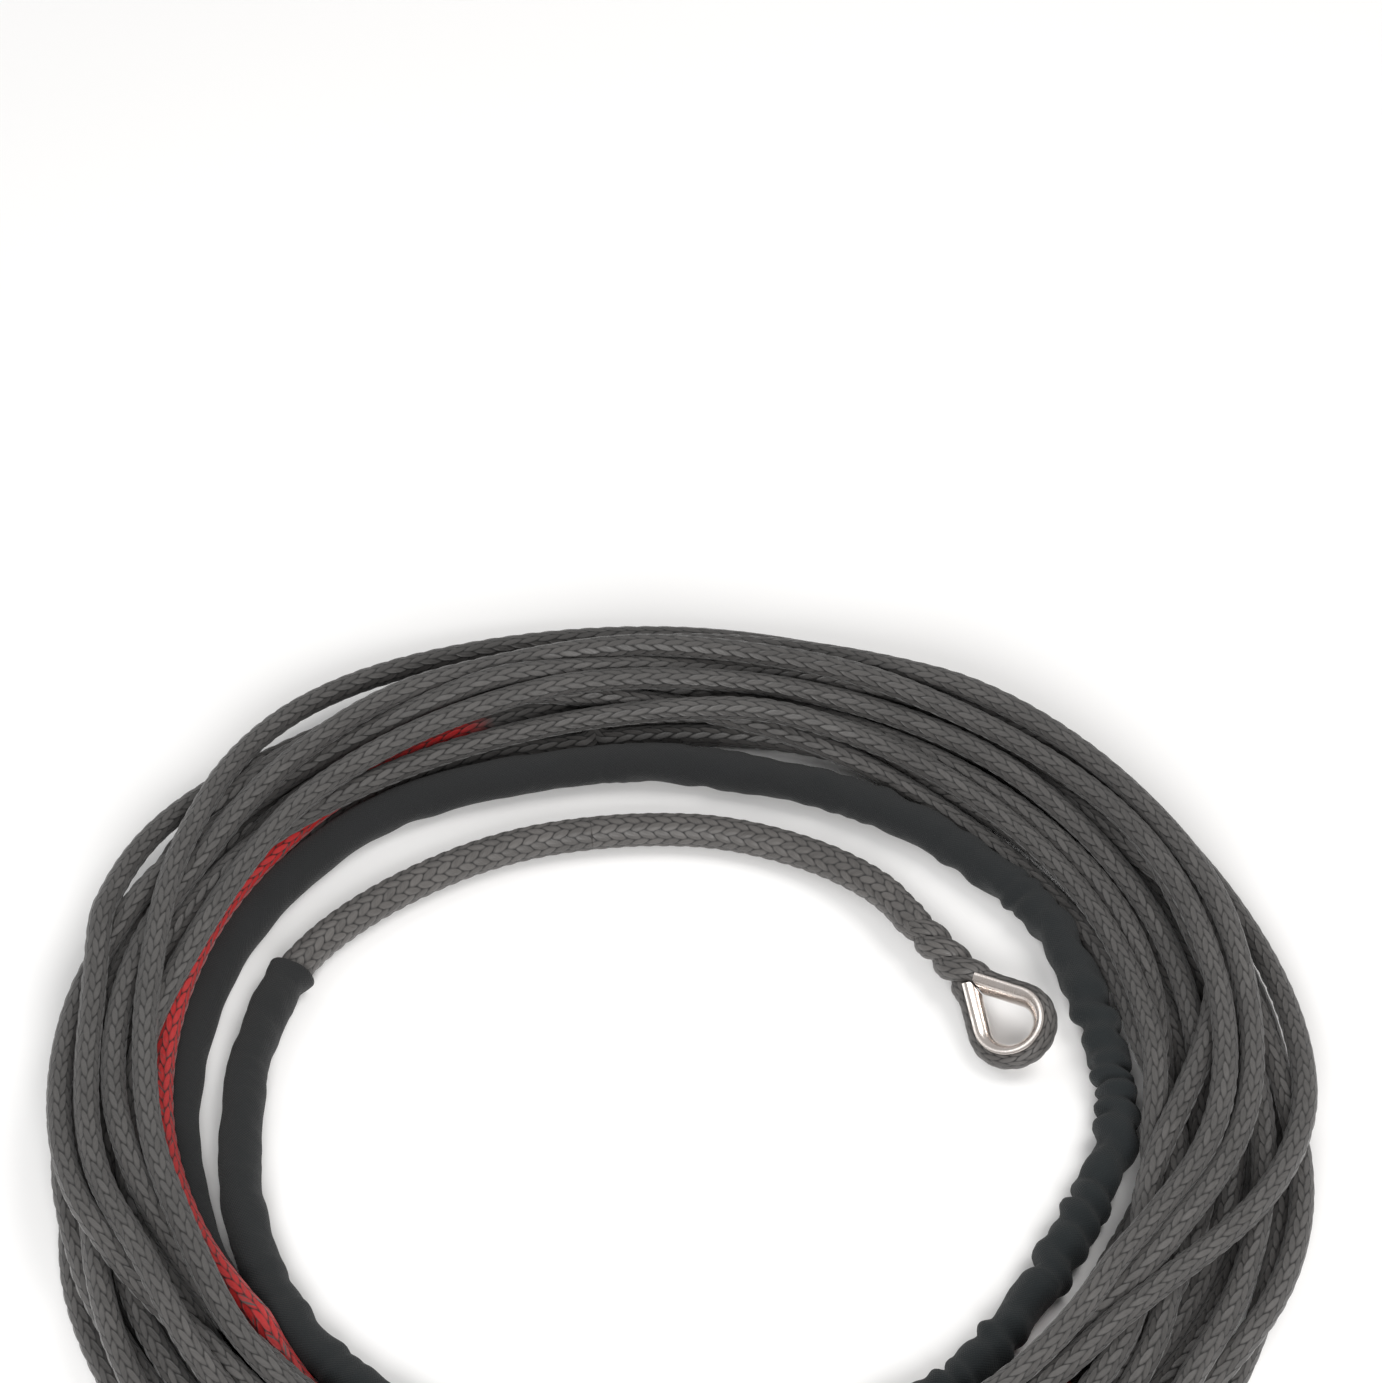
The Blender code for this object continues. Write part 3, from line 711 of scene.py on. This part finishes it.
def floor_finish():
    """Pale, matt and almost even."""
    finish = Finish("pale_floor")
    cloud = finish.noise(1.5, 2.0, 0.5)
    colour = finish.blend(finish.ramp(cloud, 0.3, 0.7), (0.90, 0.90, 0.90), (0.93, 0.93, 0.93))
    finish.give("Base Color", colour)
    finish.give("Roughness", 0.9)
    finish.give("Specular IOR Level", 0.1)
    return finish.material


# ------ sleeve

SLEEVE_SIDES = 48
SLEEVE_SPACING = 0.7
SLEEVE_SLACK = 0.15  # how much smaller the cloth lies than its full width
CLOTH_LOWEST = 0.15
WEAVE_PITCH = 0.9
HEM_DEPTH = 7.0
HEM_THICKNESS = 0.55
# How strongly the sleeve is twisted and gathered along its way: (degrees, depth of folds in mm)
SLEEVE_FOLDS = [(166, 0.6), (185, 0.45), (222, 0.7), (250, 0.85), (290, 0.95), (317, 1.05), (335, 1.3),
                (372, 1.35), (384, 1.0), (399, 0.75), (438, 0.6), (457, 0.5), (480, 0.32), (520, 0.28),
                (578, 0.35)]
FOLD_LIMITS = (-1.7, 0.95)
# Swelling of the near mouth in mm, and how far it is squashed: (mm from the mouth, mm)
MOUTH_SWELL = [(0.0, 0.40), (2.2, 0.15), (5.2, -0.30), (8.5, 0.25), (12.0, 0.5), (17.0, 0.0)]
MOUTH_RUFFLE = [(0.0, 0.55), (6.0, 0.2), (10.0, 0.0)]
# Random lumps of the cloth: (waves round the sleeve, their height)
LUMPS = [(0, 0.40), (1, 0.45), (2, 0.42), (3, 0.30), (5, 0.16)]


def soft_noise(rng, count, step, smooth):
    """A smooth random line, about one unit high, whose bumps are a few times `smooth` apart."""
    knots = int(count * step / smooth) + 6
    values = rng.uniform(-1.0, 1.0, knots)
    line = catmull_rom(np.column_stack([values]), 12)[:, 0]
    at = np.linspace(0.0, len(line) - 1.0, count)
    return np.interp(at, np.arange(len(line)), line)


def make_sleeve(finish):
    middle = polar_points(SLEEVE_ROUTE, SLEEVE_HEIGHT)
    route = catmull_rom([mouth_point(-0.6)] + middle)
    places = even_points(route, SLEEVE_SPACING)
    count = len(places)
    angle_at = np.degrees(np.unwrap(np.arctan2(places[:, 1], places[:, 0])))
    angle_at += 360.0 if angle_at[0] < 0 else 0.0
    depth = read_table(angle_at, SLEEVE_FOLDS)
    along = np.arange(count) * SLEEVE_SPACING
    rng = np.random.default_rng(11)
    share = np.arange(SLEEVE_SIDES + 1) / SLEEVE_SIDES
    turn = 2 * math.pi * share
    pitch = 9.6 + 4.2 * soft_noise(rng, count, SLEEVE_SPACING, 11.0)
    phase = 2 * math.pi * np.cumsum(SLEEVE_SPACING / pitch)[:, None]
    sway = 2.4 * soft_noise(rng, count, SLEEVE_SPACING, 13.0)[:, None]
    gather = 0.55 + 0.45 * soft_noise(rng, count, SLEEVE_SPACING, 9.0)[:, None]
    ridge = gather * np.sin(phase - turn[None, :] + sway) + 0.4 * np.sin(0.62 * phase + turn[None, :])
    ridge = np.where(ridge > 0, ridge, 1.25 * ridge)
    lumps = np.zeros_like(ridge)
    for mode, height in LUMPS:
        for wave in (np.cos, np.sin):
            line = soft_noise(rng, count, SLEEVE_SPACING, 8.0 - mode * 0.8)
            lumps += height * line[:, None] * wave(mode * turn)[None, :]
    twisted = np.clip((depth - 0.3) / 0.9, 0.0, 1.0)[:, None]
    folds = depth[:, None] * (0.85 * ridge * twisted + lumps * (0.75 + 0.15 * (1 - twisted)))
    folds = np.clip(folds, *FOLD_LIMITS)
    mouth = read_table(along, MOUTH_SWELL)
    ruffle = read_table(along, MOUTH_RUFFLE)[:, None] * np.sin(2 * turn + 0.9)[None, :]
    far_hem = np.interp(along, [along[-1] - 9.0, along[-1] - 4.0, along[-1]], [0.0, -0.5, 0.35])
    radius = SLEEVE_RADIUS - SLEEVE_SLACK + folds + mouth[:, None] + ruffle + far_hem[:, None]
    wander = 0.45 * depth * soft_noise(rng, count, SLEEVE_SPACING, 9.0)
    level, up = path_sections(places)
    places = places + level * wander[:, None]
    wide = radius * np.cos(turn)[None, :] * 1.01
    high = radius * np.sin(turn)[None, :]
    grid = sweep(places, level, up, wide, high)
    grid[:, :, 2] = np.maximum(grid[:, :, 2], CLOTH_LOWEST)
    shell = hollow_end_grid(coil_to_row(grid), coil_to_row(places))
    rings = shell.shape[0]
    round_share = np.broadcast_to(share[None, :], (rings, SLEEVE_SIDES + 1))
    made = tube_mesh("sleeve_cloth", shell[:, :-1], round_share,
                     np.arange(rings) * SLEEVE_SPACING / WEAVE_PITCH)
    made.data.materials.append(finish)
    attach(made, "coil")
    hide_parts("abrasion_sleeve")
    return made


def hollow_end_grid(grid, middle):
    """Turns both ends of the sleeve back into itself, so that its cloth shows an edge and an inside."""
    steps = int(HEM_DEPTH / SLEEVE_SPACING)
    shrink = 1.0 - HEM_THICKNESS / SLEEVE_RADIUS
    inner = middle[:, None, :] + (grid - middle[:, None, :]) * shrink
    return np.concatenate([inner[steps::-1], grid, inner[:-2 - steps:-1]], axis=0)


# ------ thimble and the rope round it

def teardrop(offset, leg_length, leg_steps, arc_steps):
    """Points round the eye outside the thimble's web, their outward directions, and the way along each leg.

    The way along grows from nothing at the crown to a whole unit at the leg's end.
    """
    sine = math.sin(HALF_ANGLE)
    cosine = math.cos(HALF_ANGLE)
    halves = []
    for side in (-1, 1):
        rows = []
        for k in range(arc_steps + 1):
            angle = (math.pi / 2 + HALF_ANGLE) * k / arc_steps
            normal = np.array((math.cos(angle), side * math.sin(angle), 0.0))
            rows.append((normal * (CROWN_RADIUS + offset), normal, np.zeros(3)))
        normal = np.array((-sine, side * cosine, 0.0))
        for k in range(1, leg_steps + 1):
            way = np.array((-cosine, -side * sine, 0.0)) * k / leg_steps
            rows.append((normal * (CROWN_RADIUS + offset) + way * leg_length, normal, way))
        halves.append(rows)
    rows = halves[0][::-1] + halves[1][1:]
    return [np.array(column) for column in zip(*rows)]


def channel_outline():
    """The half-round channel's section with rounded rims, as (out from the web's inner face, height)."""
    skin_radius = GROOVE_RADIUS + SHEET
    skin_end = math.asin(RIM_HALF_HEIGHT / skin_radius)
    groove_end = math.radians(72.0)
    outline = []
    for k in range(19):
        turn = skin_end * (k / 9.0 - 1.0)
        outline.append((skin_radius * (1 - math.cos(turn)), skin_radius * math.sin(turn)))
    inner_out = skin_radius - GROOVE_RADIUS * math.cos(groove_end)
    inner_high = GROOVE_RADIUS * math.sin(groove_end)
    rim = [(RIM_REACH - 0.30, RIM_HALF_HEIGHT), (RIM_REACH - 0.08, RIM_HALF_HEIGHT - 0.07),
           (RIM_REACH, RIM_HALF_HEIGHT - 0.28), (RIM_REACH - 0.06, inner_high + 0.18),
           (inner_out + 0.14, inner_high + 0.03)]
    outline += rim
    for k in range(17):
        turn = groove_end * (1.0 - k / 8.0)
        outline.append((skin_radius - GROOVE_RADIUS * math.cos(turn), GROOVE_RADIUS * math.sin(turn)))
    outline += [(out, -high) for out, high in rim[::-1]]
    return np.array(outline)


def make_thimble(finish):
    web_y = CROWN_RADIUS * math.cos(HALF_ANGLE)
    leg = (web_y - TIP_HALF_GAP) / math.sin(HALF_ANGLE)
    points, normals, ways = teardrop(0.0, leg, 24, 26)
    outline = channel_outline()
    beyond = np.minimum(outline[:, 0] / math.tan(HALF_ANGLE), TIP_MITRE)
    grid = (points[:, None, :] + normals[:, None, :] * outline[None, :, 0, None]
            + ways[:, None, :] * beyond[None, :, None]
            + np.array((0.0, 0.0, 1.0))[None, None, :] * outline[None, :, 1, None])
    sides = len(outline)
    share = np.broadcast_to(np.arange(sides + 1)[None, :] / sides, (len(points), sides + 1))
    made = tube_mesh("thimble_steel", eye_to_row(grid), share, np.arange(len(points)) * 1.0)
    made.data.set_sharp_from_angle(angle=math.radians(50.0))
    made.data.materials.append(finish)
    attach(made, "eye")
    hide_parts("thimble")


LOCK_LENGTH = LOCK_BACK + LOCK_INTO_LEAD - LOCK_FRONT
LOCK_STEPS = 48
# How far each strand's middle is from the eye's axis: (mm behind the lock's front, mm)
LOCK_REACH = [(0.0, 3.1), (4.0, 2.2), (12.0, 1.9), (20.0, 1.9), (LOCK_LENGTH, 1.4)]
EYE_ROPE_FLOAT = 4.3
LEG_HALF_GAP = 3.2  # of the rope's middle from the eye's axis where a leg ends


def lock_strand(side, from_front):
    """One leg of the rope through the lock, turning about the eye's axis, in the eye's frame."""
    out = []
    for k in range(LOCK_STEPS + 1):
        done = LOCK_LENGTH * k / LOCK_STEPS
        turn = math.pi * done / LOCK_HALF_TURN
        reach = read_table(done, LOCK_REACH)
        out.append((-LOCK_FRONT - done, side * reach * math.cos(turn), side * reach * math.sin(turn)))
    return out if from_front else out[::-1]


def eye_rope_half(back, in_groove):
    """Half a width of the eye's rope: squeezed in the groove, full in the lock, thinner in the lead."""
    return read_table(back, [(LOCK_FRONT - 5.0, in_groove), (LOCK_FRONT + 1.0, LOCK_STRAND_RADIUS),
                             (LOCK_BACK - 8.0, LOCK_STRAND_RADIUS),
                             (LOCK_BACK + LOCK_INTO_LEAD, LOCK_END_RADIUS)])


def make_eye_rope(finish):
    """The rope's two legs from the lock, round the thimble in its groove, and back through the lock."""
    middle_y = (CROWN_RADIUS + EYE_OFFSET) * math.cos(HALF_ANGLE)
    leg = (middle_y - LEG_HALF_GAP) / math.sin(HALF_ANGLE)
    loop = teardrop(EYE_OFFSET, leg, 16, 24)[0]
    path = np.vstack([lock_strand(-1, False)[:-1], loop, lock_strand(1, True)[1:]])
    smooth = even_points(catmull_rom(path, 4), 0.5)
    for _ in range(6):
        smooth[1:-1] += 0.5 * (0.5 * (smooth[:-2] + smooth[2:]) - smooth[1:-1])
    wide = eye_rope_half(-smooth[:, 0], EYE_ROPE_HALF_WIDTH)
    high = eye_rope_half(-smooth[:, 0], EYE_ROPE_HALF_HEIGHT)
    pole = (0.0, -math.sin(EYE_ROLL), math.cos(EYE_ROLL))
    made = braided_rope("eye_rope", eye_to_row(smooth), wide * MM, high * MM, finish, EYE_ROPE_FLOAT,
                        relief=0.55, sides=72, spacing=0.35, pole=pole)
    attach(made, "eye")
    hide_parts("eye_loop", "lock_splice")


# ------ lead, coil and drum end

LEAD_START_BACK = 40.0
LEAD_INTO_SLEEVE = 9.0
END_PIECE = 46.0  # of the rope at the lug, as its own piece
ROPE_STEP = 2.0
BARREL_SPAN = (2.0, 11.0)  # the rope's end in the lug's barrel, along the lug's axis


def lead_route():
    """From inside the lock to a little way into the sleeve, in the coil's frame."""
    return catmull_rom([eye_axis_point(LEAD_START_BACK), eye_axis_point(LOCK_BACK + LOCK_INTO_LEAD)]
                       + LEAD_MIDDLE + [mouth_point(2.2), mouth_point(-LEAD_INTO_SLEEVE)])


def lead_radius(along):
    """The lead's half size: it opens over the tail behind the lock in a soft shoulder."""
    return read_table(along, [(0.0, 4.0), (2.0, 4.55), (6.0, 5.0), (11.0, 4.75), (17.0, 4.9),
                              (24.0, LEAD_RADIUS)])


def make_lead(finish):
    points = coil_to_row(even_points(lead_route(), 0.5))
    along = lengths_along(points) / MM
    half = len(points) // 2
    made = []
    for name, part in (("lead_eye_half", slice(0, half + 1)), ("lead_sleeve_half", slice(half, None))):
        size = lead_radius(along[part]) * MM
        made.append(braided_rope(name, points[part], size, size, finish, LEAD_FLOAT, relief=0.75, sides=96,
                                 spacing=0.4))
    first, second = made
    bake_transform(first)
    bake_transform(second)
    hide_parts("lead_rope")
    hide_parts("buried_tail")


def rope_route():
    """The whole rope from inside the sleeve's mouth, through the sleeve and the coil, to the lug.

    Each row is a point in the coil's frame and how far round the coil it is, in degrees.
    """
    inside = catmull_rom([mouth_point(-LEAD_INTO_SLEEVE)] + polar_points(SLEEVE_ROUTE, SLEEVE_HEIGHT)
                         + polar_points(BARE_EXIT, SLEEVE_HEIGHT))
    inside = even_points(inside, ROPE_STEP)
    degrees, coil = lay_coil()
    run = catmull_rom([coil[-2]] + [(x, y, ROPE_LOWEST) for x, y in END_ROUTE]
                      + list(lug_axis_points(*BARREL_SPAN, 2)))
    run = even_points(run, ROPE_STEP)[3:]  # its first points lie on the coil's last ones
    run[:, 2] = np.maximum(run[:, 2], ROPE_LOWEST)
    joined = np.vstack([inside[:-1], coil[:-1], run])
    marks = np.concatenate([np.zeros(len(inside) - 1), degrees[:-1], np.full(len(run), COIL_END)])
    return even_points(catmull_rom(np.column_stack([joined, marks]), 4), ROPE_STEP)


def make_rope(finish):
    route = rope_route()
    points = coil_to_row(route[:, :3])
    along = lengths_along(points) / MM
    marks = route[:, 3]
    dye = np.clip((marks - RED_FROM) / RED_EDGE, 0, 1) * np.clip((RED_TO - marks) / RED_EDGE, 0, 1)
    rng = np.random.default_rng(5)
    slack = 1.0 + 0.035 * soft_noise(rng, len(points), ROPE_STEP, 45.0)
    size = np.interp(along, [SPLICE_IN_SLEEVE - TAPER_LENGTH, SPLICE_IN_SLEEVE],
                     [LEAD_RADIUS - 0.1, ROPE_RADIUS]) * MM
    size = np.where(along > SPLICE_IN_SLEEVE, size * slack, size)
    cut = int(np.searchsorted(along, along[-1] - END_PIECE))
    made = []
    for name, part in (("winch_rope", slice(0, cut + 1)), ("rope_at_lug", slice(cut, None))):
        made.append(braided_rope(name, points[part], size[part] * 1.02, size[part] * 0.98, finish, ROPE_FLOAT,
                                 relief=0.55, sides=24, spacing=ROPE_FLOAT / 5, dye=dye[part], twist=0.35,
                                 before=along[part][0] * MM))
    coiled, end = made
    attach(coiled, "coil")
    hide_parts("rope_coil", "sleeved_rope", "rope_end_run")
    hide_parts("crimped_end")
    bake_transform(end)


def lug_axis_points(start, end, count):
    along = np.linspace(start, end, count)
    return np.column_stack([LUG_PIVOT[0] + along * math.cos(LUG_HEADING),
                            LUG_PIVOT[1] + along * math.sin(LUG_HEADING), np.full(count, LUG_PIVOT[2])])


SHRINK_START = 0.6  # along the lug's axis
SHRINK_LENGTH = 16.0
SHRINK_RINGS = 64
SHRINK_SIDES = 40
SHRINK_LARGEST = 5.2
# The tube's radius: (mm from its end, mm)
SHRINK_PROFILE = [(0.0, 3.75), (0.25, 4.05), (1.5, 4.2), (3.2, 4.55), (4.4, 5.0), (6.0, 5.15), (9.0, 4.9),
                  (11.0, 5.15), (14.0, 5.0), (15.6, 5.1), (16.0, 4.85)]


def make_shrink(finish):
    """The shrink tube grips the rope behind the barrel, and shows the crimp through itself."""
    middle = lug_axis_points(SHRINK_START, SHRINK_START + SHRINK_LENGTH, SHRINK_RINGS)
    along = np.linspace(0.0, SHRINK_LENGTH, SHRINK_RINGS)
    radius = read_table(along, SHRINK_PROFILE)
    level, up = path_sections(middle)
    share = np.arange(SHRINK_SIDES + 1) / SHRINK_SIDES
    turn = 2 * math.pi * share
    dent = 0.22 * np.exp(-((along - 9.0) / 1.6) ** 2)[:, None] * (1 + np.cos(2 * turn))[None, :]
    crease = 0.05 * np.sin(7 * turn + 1.0)[None, :] * np.exp(-((along - 3.4) / 1.8) ** 2)[:, None]
    size = np.minimum(radius[:, None] - dent + crease, SHRINK_LARGEST)
    grid = coil_to_row(sweep(middle, level, up, size * np.cos(turn), size * np.sin(turn)))
    made = tube_mesh("shrink_sleeve", grid[:, :-1],
                     np.broadcast_to(share[None, :], (SHRINK_RINGS, SHRINK_SIDES + 1)), along)
    made.data.materials.append(finish)
    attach(made, "lug")
    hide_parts("shrink_tube")
    return made


# ------ stage

FLOOR_HALF = 6.0
WORLD_COLOUR = (1.0, 0.99, 0.98, 1.0)
WORLD_STRENGTH = 0.50
LIGHT_TARGET = (0.0, -0.05, 0.0)
# Name, place, diameter, watts, colour
LIGHTS = [("key", (0.1, 0.75, 1.3), 0.9, 8.0, (1.0, 0.98, 0.96)),
          ("fill", (-0.9, -0.5, 0.9), 0.8, 2.5, (0.97, 0.99, 1.0)),
          ("front", (0.95, -0.75, 0.75), 0.7, 18.0, (1.0, 0.99, 0.98))]


def add_floor(finish):
    data = bpy.data.meshes.new("floor")
    corners = [(-1, -1), (1, -1), (1, 1), (-1, 1)]
    data.from_pydata([(x * FLOOR_HALF, y * FLOOR_HALF, 0.0) for x, y in corners], [], [(0, 1, 2, 3)])
    data.materials.append(finish)
    add_object("floor", data)


def add_light(name, place, size, energy, colour):
    data = bpy.data.lights.new(name, "AREA")
    data.shape = "DISK"
    data.size = size
    data.energy = energy
    data.color = colour
    aim(add_object(name, data), place, Vector(LIGHT_TARGET) - Vector(place))


def add_lights():
    world = bpy.data.worlds.new("studio")
    world.use_nodes = True
    back = world.node_tree.nodes["Background"]
    back.inputs["Color"].default_value = WORLD_COLOUR
    back.inputs["Strength"].default_value = WORLD_STRENGTH
    bpy.context.scene.world = world
    for light in LIGHTS:
        add_light(*light)
    bpy.context.scene.view_settings.view_transform = "Standard"


def main():
    add_camera()
    rope = rope_finish("rope_braid", FIBRE, FIBRE_GAP_PAINTED_SHADE)
    # painted shade: the coil's rope gets a darker fibre than the same rope in the lead
    marked = rope_finish("rope_braid_marked", COIL_FIBRE_PAINTED_SHADE, COIL_GAP_PAINTED_SHADE, dyed=RED_DYE)
    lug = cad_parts["drum_lug"]
    lug_metal = lug_finish()
    for slot in lug.material_slots:
        slot.material = lug_metal
    shrink = make_shrink(shrink_finish())
    cloth = make_sleeve(sleeve_finish())
    make_lead(rope)
    make_rope(marked)
    make_eye_rope(rope)
    make_thimble(steel_finish())
    add_floor(floor_finish())
    add_lights()


main()
